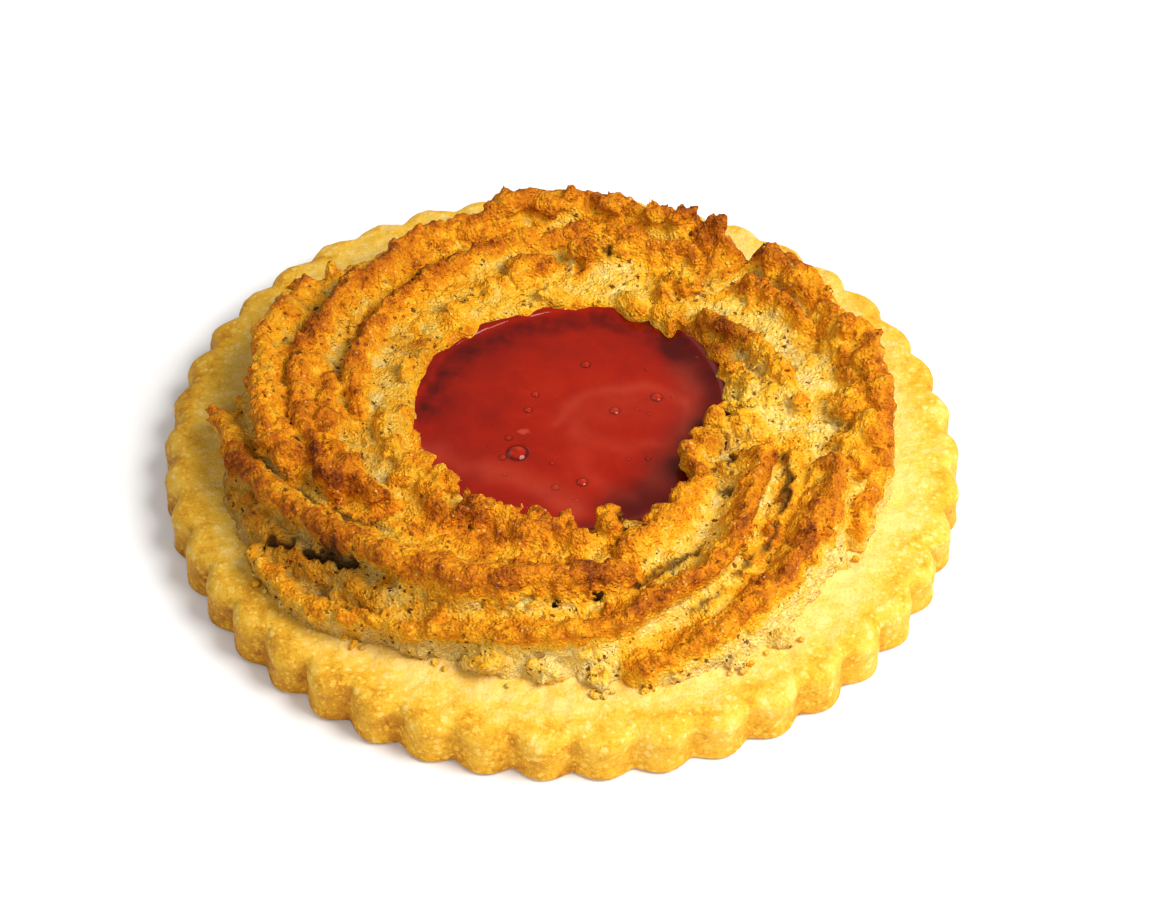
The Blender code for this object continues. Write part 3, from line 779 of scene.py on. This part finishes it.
def crumb_material():
    s = Shader("hazelnut_crumb", roughness=0.75, specular=0.12)
    toast = s.attribute("toast")
    crack_shade = s.attribute("crack_shade")
    grain_far, grain_tone = s.cells(0.38)
    random_one, random_two, _ = s.separate(grain_tone)
    shade = s.add(toast, s.swing(0.15, 1.3, 5, 0.68))
    shade = s.add(shade, s.swing(0.07, 0.36, 3, 0.6))
    shade = s.add(shade, s.fit(random_one, 0.0, 1.0, -0.06, 0.06, False), clamp=True)
    colour = s.ramp(shade, (
        (0.00, (240, 208, 122)),
        (0.10, (239, 198, 90)),
        (0.25, (242, 186, 58)),
        (0.38, (240, 170, 28)),
        (0.52, (230, 147, 16)),
        (0.68, (208, 119, 10)),
        (0.84, (172, 88, 8)),
        (1.00, (112, 50, 10)),
    ))
    # every grain has its own tone, and the gaps between grains are painted darker, as shade between the
    # grains
    tone = s.add(s.fit(random_two, 0.0, 1.0, 0.80, 1.18, False), s.fit(grain_far, 0.25, 0.75, 0.02, -0.16))
    tone = s.times(tone, s.fit(s.noise(0.8, 3, 0.6), 0.3, 0.7, 0.90, 1.08, False))
    colour = s.mix(1.0, colour, tone, "MULTIPLY")
    # pale grains, painted bright so that they also stand for glints where grains catch the light, and flecks
    # of nut skin
    distance, random = s.cells(0.60)
    chosen = s.maths("GREATER_THAN", s.separate(random)[1], 0.84)
    pale_grain_glint = s.times(s.fit(distance, 0.14, 0.34, 1.0, 0.0), chosen)
    colour = s.mix(s.times(pale_grain_glint, 0.34), colour, linear((255, 230, 150)))
    ragged = s.swing(0.15, 0.24, 2)
    sparse = s.fit(s.noise(2.4, 2), 0.42, 0.56)
    pale = s.times(sparse, s.fit(toast, 0.25, 0.75, 0.9, 0.6))
    for size, radius, share, tint in SPECKS:
        distance, random = s.cells(size)
        own_share, own_size, _ = s.separate(random)
        shape = s.add(s.add(distance, ragged), s.fit(own_size, 0.0, 1.0, 0.08, -0.10, False))
        spot = s.fit(shape, radius - 0.04, radius + 0.02, 1.0, 0.0)
        chosen = s.maths("GREATER_THAN", own_share, share)
        colour = s.mix(s.times(spot, s.times(chosen, pale)), colour, linear(tint))
    # painted shade: greyer and darker in the shade patches and towards the left
    colour = s.mix(s.attribute("painted_shade"), colour, s.mix(1.0, colour, linear((192, 172, 150)), "MULTIPLY"))
    # painted shade: cracks and hollows are darkened to dark brown
    colour = s.mix(s.times(crack_shade, 0.85), colour, linear((62, 28, 12)))
    s.link(colour, s.surface.inputs["Base Color"])
    dome = s.times(s.fit(grain_far, 0.0, 0.7, 1.0, 0.0), s.fit(random_two, 0.0, 1.0, 0.3, 1.0, False))
    height = s.add(dome, s.times(s.noise(0.5, 3, 0.6), 0.9))
    s.link(s.bump(height, 0.29, 1.0), s.surface.inputs["Normal"])
    return s.material


def shortbread_material():
    s = Shader("baked_shortbread", roughness=0.62, specular=0.18)
    # the oven's browning, with painted shade towards the left
    bake_and_left_shade = s.attribute("bake_and_left_shade")
    dots, tone = s.cells(0.72)
    ragged = s.add(dots, s.swing(0.10, 0.5, 2))
    pale_dot = s.times(s.fit(ragged, 0.22, 0.40, 1.0, 0.0), s.separate(tone)[0])
    shade = s.add(bake_and_left_shade, s.swing(0.14, 1.2, 4, 0.65))
    shade = s.add(shade, s.fit(s.noise(3.2, 2), 0.35, 0.65, -0.10, 0.10, False))
    shade = s.add(shade, s.swing(0.10, 0.30, 3, 0.7))
    large, large_tone = s.cells(1.35)
    large = s.add(large, s.swing(0.14, 0.6, 3))
    large = s.times(s.fit(large, 0.18, 0.38, 1.0, 0.0), s.separate(large_tone)[1])
    pale_dot = s.maths("MAXIMUM", pale_dot, large)
    dot_depth = s.fit(bake_and_left_shade, 0.10, 0.40, 0.20, 0.40)
    shade = s.maths("SUBTRACT", shade, s.times(pale_dot, dot_depth), clamp=True)
    colour = s.ramp(shade, (
        (0.00, (248, 210, 122)),
        (0.25, (243, 195, 76)),
        (0.50, (234, 175, 40)),
        (0.75, (206, 138, 26)),
        (1.00, (158, 90, 16)),
    ))
    # painted shade: the disc darkens towards the left, away from the key light
    painted_shade = s.fit(s.separate(s.place)[0], -0.046, -0.010, 0.80, 1.0)
    colour = s.mix(1.0, colour, painted_shade, "MULTIPLY")
    s.link(colour, s.surface.inputs["Base Color"])
    height = s.add(s.noise(0.34, 4, 0.7), s.times(s.noise(1.1, 3), 0.7))
    s.link(s.bump(height, 0.24, 1.0), s.surface.inputs["Normal"])
    return s.material


def jelly_material():
    s = Shader("red_fruit_jelly", roughness=0.08, specular=0.2)
    depth_and_dark_reflection = s.attribute("depth_and_dark_reflection")
    painted_sheen_and_fleck = s.attribute("painted_sheen_and_fleck")
    cloud = s.noise(9.0, 3, 0.5, 1.2)
    # darker where the jelly is deep, and where a dark reflection is painted
    depth_and_dark_reflection = s.add(depth_and_dark_reflection, s.swing(0.07, 2.6, 4, 0.6, 0.6), clamp=True)
    base = s.ramp(depth_and_dark_reflection, (
        (0.00, (172, 40, 6)),
        (0.35, (146, 23, 3)),
        (0.70, (108, 14, 4)),
        (1.00, (68, 9, 5)),
    ))
    # painted sheen: swirls and bubble highlights painted paler, and the pale fleck
    sheen_veil = s.times(painted_sheen_and_fleck, s.fit(cloud, 0.35, 0.65, 0.6, 1.0), clamp=True)
    colour = s.mix(sheen_veil, base, linear((196, 80, 56)))
    distance, random = s.cells(1.9)
    chosen = s.maths("GREATER_THAN", s.separate(random)[0], 0.6)
    fleck = s.times(s.fit(distance, 0.045, 0.065, 1.0, 0.0), chosen)
    colour = s.mix(s.times(fleck, 0.6), colour, linear((60, 10, 8)))
    s.link(colour, s.surface.inputs["Base Color"])
    s.surface.inputs["Coat Weight"].default_value = 0.2
    s.surface.inputs["Coat Roughness"].default_value = 0.03
    s.link(s.bump(s.noise(7.0, 2, 0.5), 0.08, 0.5), s.surface.inputs["Normal"])
    return s.material


# Ring

def blurred(values, sigma_mm):
    """A Gaussian blur of a height map on the voxel grid."""
    sigma = sigma_mm / VOXEL
    reach = int(3 * sigma)
    offsets = np.arange(-reach, reach + 1)
    weights = np.exp(-0.5 * (offsets / sigma) ** 2)
    weights /= weights.sum()
    for axis in (0, 1):
        pad = [(reach, reach) if i == axis else (0, 0) for i in (0, 1)]
        wide = np.pad(values, pad, mode="edge")
        size = values.shape[axis]
        values = sum(w * np.take(wide, range(k, k + size), axis=axis) for k, w in enumerate(weights))
    return values


def sample_map(values, axes, x, y):
    u = np.clip((x - axes[0][0]) / VOXEL, 0, values.shape[0] - 1.001)
    v = np.clip((y - axes[1][0]) / VOXEL, 0, values.shape[1] - 1.001)
    i, j = u.astype(int), v.astype(int)
    fu, fv = u - i, v - j
    return (values[i, j] * (1 - fu) * (1 - fv) + values[i + 1, j] * fu * (1 - fv)
            + values[i, j + 1] * (1 - fu) * fv + values[i + 1, j + 1] * fu * fv)


def height_maps(field, axes):
    """The ring's top height over each voxel column, blurred a little and a lot."""
    inside = field < 0
    top = axes[2][-1] - VOXEL * np.argmax(inside[:, :, ::-1], axis=2)
    top = np.where(inside.any(axis=2), top, 8.0)
    return blurred(top, 0.7), blurred(top, 2.6)


def patches(table, x, y):
    """The sum of soft round patches: angle, radius, reach, strength."""
    total = 0 * x
    for angle, radius, reach, strength in table:
        px, py = polar_point(angle, radius)
        total = total + strength * np.exp(-((x - px) ** 2 + (y - py) ** 2) / (2 * reach ** 2))
    return total


def ring_toast(x, y, z, maps, axes):
    """How browned each point is: crests and rims most, furrows and walls least."""
    local, broad = maps
    angle, radius = ring_polar(x, y)
    proud = z - sample_map(broad, axes, x, y)
    exposure = smooth_step(-1.6, 1.2, proud + 0.6 * perlin((x, y, z), 1.7, 21))
    floor = 0.14 + 0.20 * exposure
    toast = floor
    for ridge in RIDGES:
        middle, crest, _, inside, t = crest_line(ridge, angle)
        middle = middle + 0.3 * ridge[4] * np.sign(ridge[5] - ridge[6])
        inward, outward = (middle - radius) / (ridge[4] + 2.4), (radius - middle) / (ridge[4] + 1.0)
        aside = np.where(radius < middle, inward, outward)
        level = ridge[7] + (ridge[8] - ridge[7]) * t + 0.05
        high = smooth_step(-4.0, -0.5, z - crest)
        cover = np.where(inside, high * smooth_step(1.15, 0.20, aside), 0)
        toast = np.maximum(toast, floor + (level - floor) * cover)
    toast = toast + patches(TOAST_PATCHES, x, y)
    tip = np.clip((z - sample_map(local, axes, x, y)) * 0.16, -0.14, 0.12)
    toast = toast + tip + 0.24 * perlin((x, y, z), 3.0, 22) + 0.16 * perlin((x, y, z), 1.4, 23)
    toast = toast * (1 - 0.20 * smooth_step(9.6, 7.4, z))
    return np.clip(toast, 0, 1)


def make_ring():
    field, axes = ring_field()
    points, quads = surface_nets(field, axes)
    material = crumb_material()
    ring = mesh_object("hazelnut_crumb_ring", points, quads, material)
    keep_largest(ring)
    triangles = 2 * len(ring.data.polygons)
    shrink = ring.modifiers.new("fewer_triangles", "DECIMATE")
    shrink.ratio = min(1.0, RING_TRIANGLES / triangles)
    apply_modifiers(ring)
    ring.data.shade_smooth()
    maps = height_maps(field, axes)
    x, y, z = vertex_places(ring).T
    toast = ring_toast(x, y, z, maps, axes)
    set_attribute(ring, "toast", toast)
    paler = smooth_step(0.48, 0.22, toast)
    # painted shade: the shade patches, and darker towards the left, away from the light
    painted_shade = patches(SHADE_PATCHES, x, y) + smooth_step(6, -30, x) * (0.12 + 0.40 * paler)
    set_attribute(ring, "painted_shade", np.clip(painted_shade, 0, 0.9))
    # painted shade inside the cracks and hollows
    set_attribute(ring, "crack_shade", smooth_step(0.42, -0.05, crack_distance(x, y, z)))
    return ring, material


def keep_largest(item):
    """Drops loose scraps, so that the piece is one body."""
    mesh = item.data
    count = len(mesh.vertices)
    edges = np.empty(len(mesh.edges) * 2, dtype=np.int32)
    mesh.edges.foreach_get("vertices", edges)
    edges = edges.reshape(-1, 2)
    label = np.arange(count)
    while True:
        low = np.minimum(label[edges[:, 0]], label[edges[:, 1]])
        new = label.copy()
        np.minimum.at(new, edges[:, 0], low)
        np.minimum.at(new, edges[:, 1], low)
        new = new[new]
        if np.array_equal(new, label):
            break
        label = new
    main = np.bincount(label).argmax()
    build = bmesh.new()
    build.from_mesh(mesh)
    build.verts.ensure_lookup_table()
    loose = [build.verts[i] for i in np.nonzero(label != main)[0]]
    bmesh.ops.delete(build, geom=loose, context="VERTS")
    build.to_mesh(mesh)
    build.free()


# Shortbread disc

def base_outline(columns):
    """Angle, radius and scallop cut round the rim, in the same places as in the solids."""
    phase = np.arange(columns) * SCALLOP_COUNT / columns
    even = np.radians(FIRST_TIP_ANGLE + phase * 360.0 / SCALLOP_COUNT)
    crowd = np.radians(CROWDING_ONE * np.sin(even) + CROWDING_TWO * np.sin(2 * even))
    radius = (BASE_RADIUS + OVAL_COS * np.cos(2 * even) + OVAL_SIN * np.sin(2 * even)
              + THREE_LOBE * np.sin(3 * even))
    uneven = 1.0 + 0.3 * perlin((4 * np.cos(even), 4 * np.sin(even), 0.5 + 0 * even), 1, 71)
    notch = NOTCH_ROUNDING
    lobe = (np.sqrt(np.cos(np.pi * phase) ** 2 + notch ** 2) - notch) / (math.sqrt(1 + notch ** 2) - notch)
    return even + crowd, radius, SCALLOP_DEPTH * uneven * (1.0 - lobe), lobe


def base_rows():
    """The edge from the underside's middle up and over to the top's middle: inset, height, scallop share."""
    rows = [(MIDDLE_INSET, 0.0, 0.0), (25.0, 0.0, 0.0), (8.0, 0.0, 0.3), (2.0, 0.0, 0.9)]
    for k in range(4):
        turn = math.radians(90 * k / 3)
        rows.append((0.35 * (1 - math.sin(turn)) + 0.05, 0.35 * (1 - math.cos(turn)), 1.0))
    for k in range(1, 12):
        height = 0.35 + (SHOULDER_START - 0.35) * k / 12
        rows.append((0.05 + 0.10 * math.sin(math.pi * k / 12), height, 1.0))
    for k in range(0, 15):
        turn = math.radians(90 * k / 14)
        inset = 0.05 + SHOULDER_INSET * (1 - math.cos(turn))
        rise = (BASE_HEIGHT - SHOULDER_START) * math.sin(turn)
        rows.append((inset, SHOULDER_START + rise, 1.0 - 0.55 * (k / 14) ** 1.5))
    last = 0.05 + SHOULDER_INSET
    for inset in np.linspace(last + 0.3, 12.5, 30):
        rows.append((float(inset), BASE_HEIGHT, 0.45 * max(0.0, 1 - (inset - last) / 3.0) ** 2))
    rows += [(inset, BASE_HEIGHT, 0.0) for inset in (18.0, 30.0, MIDDLE_INSET)]
    return rows


def make_base():
    angle, radius, cut, lobe = base_outline(BASE_COLUMNS)
    rim = radius - cut
    centre = [((rim * f).max() + (rim * f).min()) / 2 for f in (np.cos(angle), np.sin(angle))]
    points, insets, lobes = [], [], []
    for inset, height, share in base_rows():
        reach = radius - inset - share * cut
        points.append(np.stack([reach * np.cos(angle) - centre[0], reach * np.sin(angle) - centre[1],
                                np.full(len(angle), height)], 1))
        insets.append(np.full(len(angle), inset))
        lobes.append(lobe)
    grid = np.concatenate(points)
    inset = np.concatenate(insets)
    lobe = np.concatenate(lobes)
    x, y, z = grid.T
    rough = 0.24 * perlin((x, y, z), 3.4, 81) + 0.16 * perlin((x, y, z), 1.4, 82)
    rough = rough + 0.16 * (0.6 - grains((x, y, z), 1.1, 83))
    outward = np.stack([x, y], 1) / np.maximum(np.hypot(x, y), 1)[:, None]
    upward = smooth_step(4.2, 5.6, z)
    rough = rough * smooth_step(0.0, 0.8, z) * smooth_step(13.0, 11.0, inset)
    grid = grid + np.column_stack([outward * (rough * (1 - upward) * 0.8)[:, None], rough * upward])
    low_middle, high_middle = ([-centre[0], -centre[1], height] for height in (0.0, BASE_HEIGHT))
    material = shortbread_material()
    base, grid = closed_body("shortbread_disc", grid, BASE_COLUMNS, low_middle, high_middle, material)
    x, y, z = grid.T
    inset = np.append(inset, (MIDDLE_INSET, MIDDLE_INSET))
    lobe = np.append(lobe, (1.0, 1.0))
    band = smooth_step(6.5, 1.6, inset) * smooth_step(3.6, 5.2, z)
    band = band * np.clip(0.9 + 0.8 * perlin((x, y, z), 2.2, 85), 0, 2)
    side = smooth_step(5.0, 3.6, z)
    notch = (1 - lobe) ** 1.5 * smooth_step(2.6, 0.6, inset)
    # browning from the oven, plus painted shade: the terms in x darken the left side and the left wall; the
    # notch term darkens the notches between lobes
    bake_and_left_shade = 0.10 + 0.34 * band + side * (0.34 + 0.12 * smooth_step(8, -30, x))
    bake_and_left_shade = bake_and_left_shade + 0.14 * notch * smooth_step(5.8, 4.4, z) + 0.10 * smooth_step(1.6, 0.2, z)
    bake_and_left_shade = bake_and_left_shade + 0.12 * smooth_step(25, -38, x) - 0.14 * smooth_step(25, 40, y)
    bake_and_left_shade = bake_and_left_shade + 0.10 * perlin((x, y, z), 6, 84)
    set_attribute(base, "bake_and_left_shade", np.clip(bake_and_left_shade, 0, 1))
    return base


# Jelly

def line_distance(line, x, y):
    """Distance to the nearest of a line's straight parts."""
    nearest = np.full(x.shape, 99.0)
    for (x0, y0), (x1, y1) in zip(line[:-1], line[1:]):
        run = (x1 - x0) ** 2 + (y1 - y0) ** 2
        t = np.clip(((x - x0) * (x1 - x0) + (y - y0) * (y1 - y0)) / run, 0, 1)
        nearest = np.minimum(nearest, np.hypot(x - x0 - t * (x1 - x0), y - y0 - t * (y1 - y0)))
    return nearest


def jelly_tones(x, y):
    """How dark the jelly looks at each point, with painted dark reflections, and its painted sheen and pale
    fleck.
    """
    flat = (x, y, 0 * x)
    angle, radius = ring_polar(x, y)
    gap = hole_radius(angle) - radius
    depth_and_dark_reflection = 0.34 + 0.16 * smooth_step(0, -14, x) + 0.10 * smooth_step(6, 16, y) + 0.07 * perlin(flat, 5, 92)
    blotch = 0.75 + 0.7 * perlin(flat, 1.9, 95) + 0.4 * perlin(flat, 0.8, 96)
    bent_x, bent_y = x + 0.8 * perlin(flat, 4, 93), y + 0.8 * perlin(flat, 4, 94)
    for number, (line, half_width, strength) in enumerate(DARK_BANDS):
        shade = np.exp(-(line_distance(line, bent_x, bent_y) / half_width) ** 2)
        depth_and_dark_reflection = depth_and_dark_reflection + strength * shade * (np.clip(blotch, 0.2, 1.4) if number == 0 else 1)
    painted_sheen_and_fleck = 0 * x
    for line, half_width, strength in SHEEN_SWIRLS:
        painted_sheen_and_fleck = painted_sheen_and_fleck + strength * np.exp(-(line_distance(line, bent_x, bent_y) / half_width) ** 2)
    for px, py, size in BUBBLES:
        away = np.hypot(x - px, y - py) / size
        depth_and_dark_reflection = depth_and_dark_reflection + 0.55 * np.exp(-((away - 1) / 0.16) ** 2) - 0.10 * (away < 0.8)
        # a painted highlight on each bubble
        painted_highlight = np.hypot(x - px - 0.25 * size, y - py - 0.35 * size) / (0.3 * size)
        painted_sheen_and_fleck = painted_sheen_and_fleck + (0.5 if size > 0.2 else 0.3) * np.exp(-painted_highlight ** 2)
    fleck = np.hypot((x - PALE_FLECK[0]) / 0.8, (y - PALE_FLECK[1]) / 0.5) + 0.5 * perlin(flat, 0.6, 97)
    painted_sheen_and_fleck = painted_sheen_and_fleck + 0.7 * smooth_step(1.0, 0.6, fleck)
    edge = np.exp(-((gap - 0.25) / 0.35) ** 2)
    depth_and_dark_reflection = depth_and_dark_reflection * (1 - 0.15 * edge)
    return np.clip(depth_and_dark_reflection, 0, 1), np.clip(painted_sheen_and_fleck, 0, 1)


def make_jelly():
    turn = np.arange(JELLY_COLUMNS) * 2 * math.pi / JELLY_COLUMNS
    levels = [(JELLY_REACH - 0.2, JELLY_BOTTOM), (JELLY_REACH, 7.5)]
    levels += [(radius, JELLY_TOP - 0.22) for radius in JELLY_REACH * np.linspace(1, 0, JELLY_RINGS + 1)[:-1]]
    rows = [np.stack([radius * np.cos(turn), radius * np.sin(turn), np.full(JELLY_COLUMNS, height)], 1)
            for radius, height in levels]
    grid = np.concatenate(rows) + np.array([JELLY_CENTRE[0], JELLY_CENTRE[1], 0])
    x, y, z = grid.T.copy()
    top = z > 9
    angle, radius = ring_polar(x, y)
    gap = np.maximum(hole_radius(angle) - radius, 0)
    z = z + np.where(top, 0.42 * np.exp(-gap / 0.55) + 0.10 * perlin((x, y, 0 * x), 8.0, 91), 0)
    for px, py, size in BUBBLES:
        away = np.hypot(x - px, y - py) / size
        dome = 0.30 * size * np.where(away < 1, np.cos(away * math.pi / 2), 0)
        groove = 0.10 * size * np.exp(-((away - 1.1) / 0.18) ** 2)
        z = z + np.where(top, dome - groove, 0)
    grid = np.stack([x, y, z], 1)
    low_middle, high_middle = [*JELLY_CENTRE, JELLY_BOTTOM], [*JELLY_CENTRE, grid[-1, 2]]
    jelly, grid = closed_body("jelly_pool", grid, JELLY_COLUMNS, low_middle, high_middle, jelly_material())
    depth_and_dark_reflection, painted_sheen_and_fleck = jelly_tones(grid[:, 0], grid[:, 1])
    set_attribute(jelly, "depth_and_dark_reflection", depth_and_dark_reflection)
    set_attribute(jelly, "painted_sheen_and_fleck", painted_sheen_and_fleck)
    return jelly


# Loose crumbs

def icosphere(level):
    build = bmesh.new()
    bmesh.ops.create_icosphere(build, subdivisions=level, radius=1.0)
    points = np.array([v.co[:] for v in build.verts])
    faces = np.array([[v.index for v in f.verts] for f in build.faces])
    build.free()
    return points, faces


def make_loose_crumbs(material):
    """Small uneven lumps in one mesh, each sunk a little into the shortbread."""
    count = len(LOOSE_CRUMBS)
    sizes = np.array([size * LOOSE_SHARE for _, _, size in LOOSE_CRUMBS])
    places = np.array([(*polar_point(angle, radius), BASE_HEIGHT) for angle, radius, _ in LOOSE_CRUMBS])
    places[:, 2] += sizes * 0.6
    toasts = np.random.default_rng(8).uniform(0.1, 0.35, count)
    rng = np.random.default_rng(9)
    shape, faces = icosphere(2)
    scale = rng.uniform(0.65, 1.25, (count, 1, 3))
    spin = rng.normal(size=(count, 4))
    spin /= np.linalg.norm(spin, axis=1)[:, None]
    w, i, j, k = spin.T
    rotation = np.stack([
        np.stack([1 - 2 * (j * j + k * k), 2 * (i * j - k * w), 2 * (i * k + j * w)], 1),
        np.stack([2 * (i * j + k * w), 1 - 2 * (i * i + k * k), 2 * (j * k - i * w)], 1),
        np.stack([2 * (i * k - j * w), 2 * (j * k + i * w), 1 - 2 * (i * i + j * j)], 1)], 1)
    points = shape[None] * scale * (1 + rng.uniform(-0.22, 0.22, (count, len(shape), 1)))
    points = np.einsum("nab,nvb->nva", rotation, points) * sizes[:, None, None] + places[:, None]
    index = faces[None] + (np.arange(count) * len(shape))[:, None, None]
    item = mesh_object("loose_crumbs", points.reshape(-1, 3), index.reshape(-1, 3), material)
    set_attribute(item, "toast", np.repeat(toasts, len(shape)))
    return item


# Stage, lights and camera

def make_stage():
    s = Shader("white_floor", roughness=0.9, specular=0.1)
    s.surface.inputs["Base Color"].default_value = (0.92, 0.92, 0.92, 1)
    points = FLOOR_HALF_SIZE * np.array([(-1, -1, 0), (1, -1, 0), (1, 1, 0), (-1, 1, 0)])
    floor = mesh_object("floor", points, np.array([[0, 1, 2, 3]]), s.material, smooth=False)
    floor.location.z = -FLOOR_DROP
    world = bpy.data.worlds.new("studio")
    world.use_nodes = True
    background = world.node_tree.nodes["Background"]
    background.inputs["Color"].default_value = (1.0, 1.0, 1.0, 1)
    background.inputs["Strength"].default_value = 0.26
    bpy.context.scene.world = world


def area_light(name, place, size, power, colour=(1, 1, 1)):
    light = bpy.data.lights.new(name, "AREA")
    light.shape = "DISK"
    light.size = size
    light.energy = power
    light.color = colour
    item = bpy.data.objects.new(name, light)
    item.location = place
    direction = -item.location.normalized()
    item.rotation_euler = direction.to_track_quat("-Z", "Y").to_euler()
    bpy.context.scene.collection.objects.link(item)


def make_lights():
    area_light("key_right", (0.245, -0.085, 0.345), 0.32, 2.7, (1.0, 0.985, 0.96))
    area_light("front_fill", (-0.15, -0.62, 0.42), 0.5, 1.9)
    area_light("left_back_fill", (-0.55, 0.35, 0.50), 0.6, 0.6)


def make_camera():
    camera = bpy.data.cameras.new("photo_camera")
    camera.sensor_width = SENSOR_WIDTH
    camera.lens = FOCAL_PIXELS / PHOTO_WIDTH * SENSOR_WIDTH
    camera.shift_x = (PHOTO_WIDTH / 2 - BASE_PIXEL[0]) / PHOTO_WIDTH
    camera.shift_y = (BASE_PIXEL[1] - PHOTO_HEIGHT / 2) / PHOTO_WIDTH
    camera.clip_start = 0.01
    item = bpy.data.objects.new("photo_camera", camera)
    e = math.radians(CAMERA_ELEVATION)
    item.location = (0, -CAMERA_DISTANCE * math.cos(e), CAMERA_DISTANCE * math.sin(e))
    item.rotation_euler = (math.pi / 2 - e, 0, 0)
    bpy.context.scene.collection.objects.link(item)
    bpy.context.scene.camera = item


def attach(piece, node=None):
    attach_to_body(piece, "root")
    if node:
        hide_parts(node)


make_camera()
make_stage()
make_lights()
bpy.context.scene.view_settings.view_transform = "Standard"
ring, crumb = make_ring()
attach(ring, "hazelnut_ring")
attach(make_loose_crumbs(crumb))
attach(make_base(), "shortbread_base")
attach(make_jelly(), "red_jelly")

bpy.context.view_layer.update()
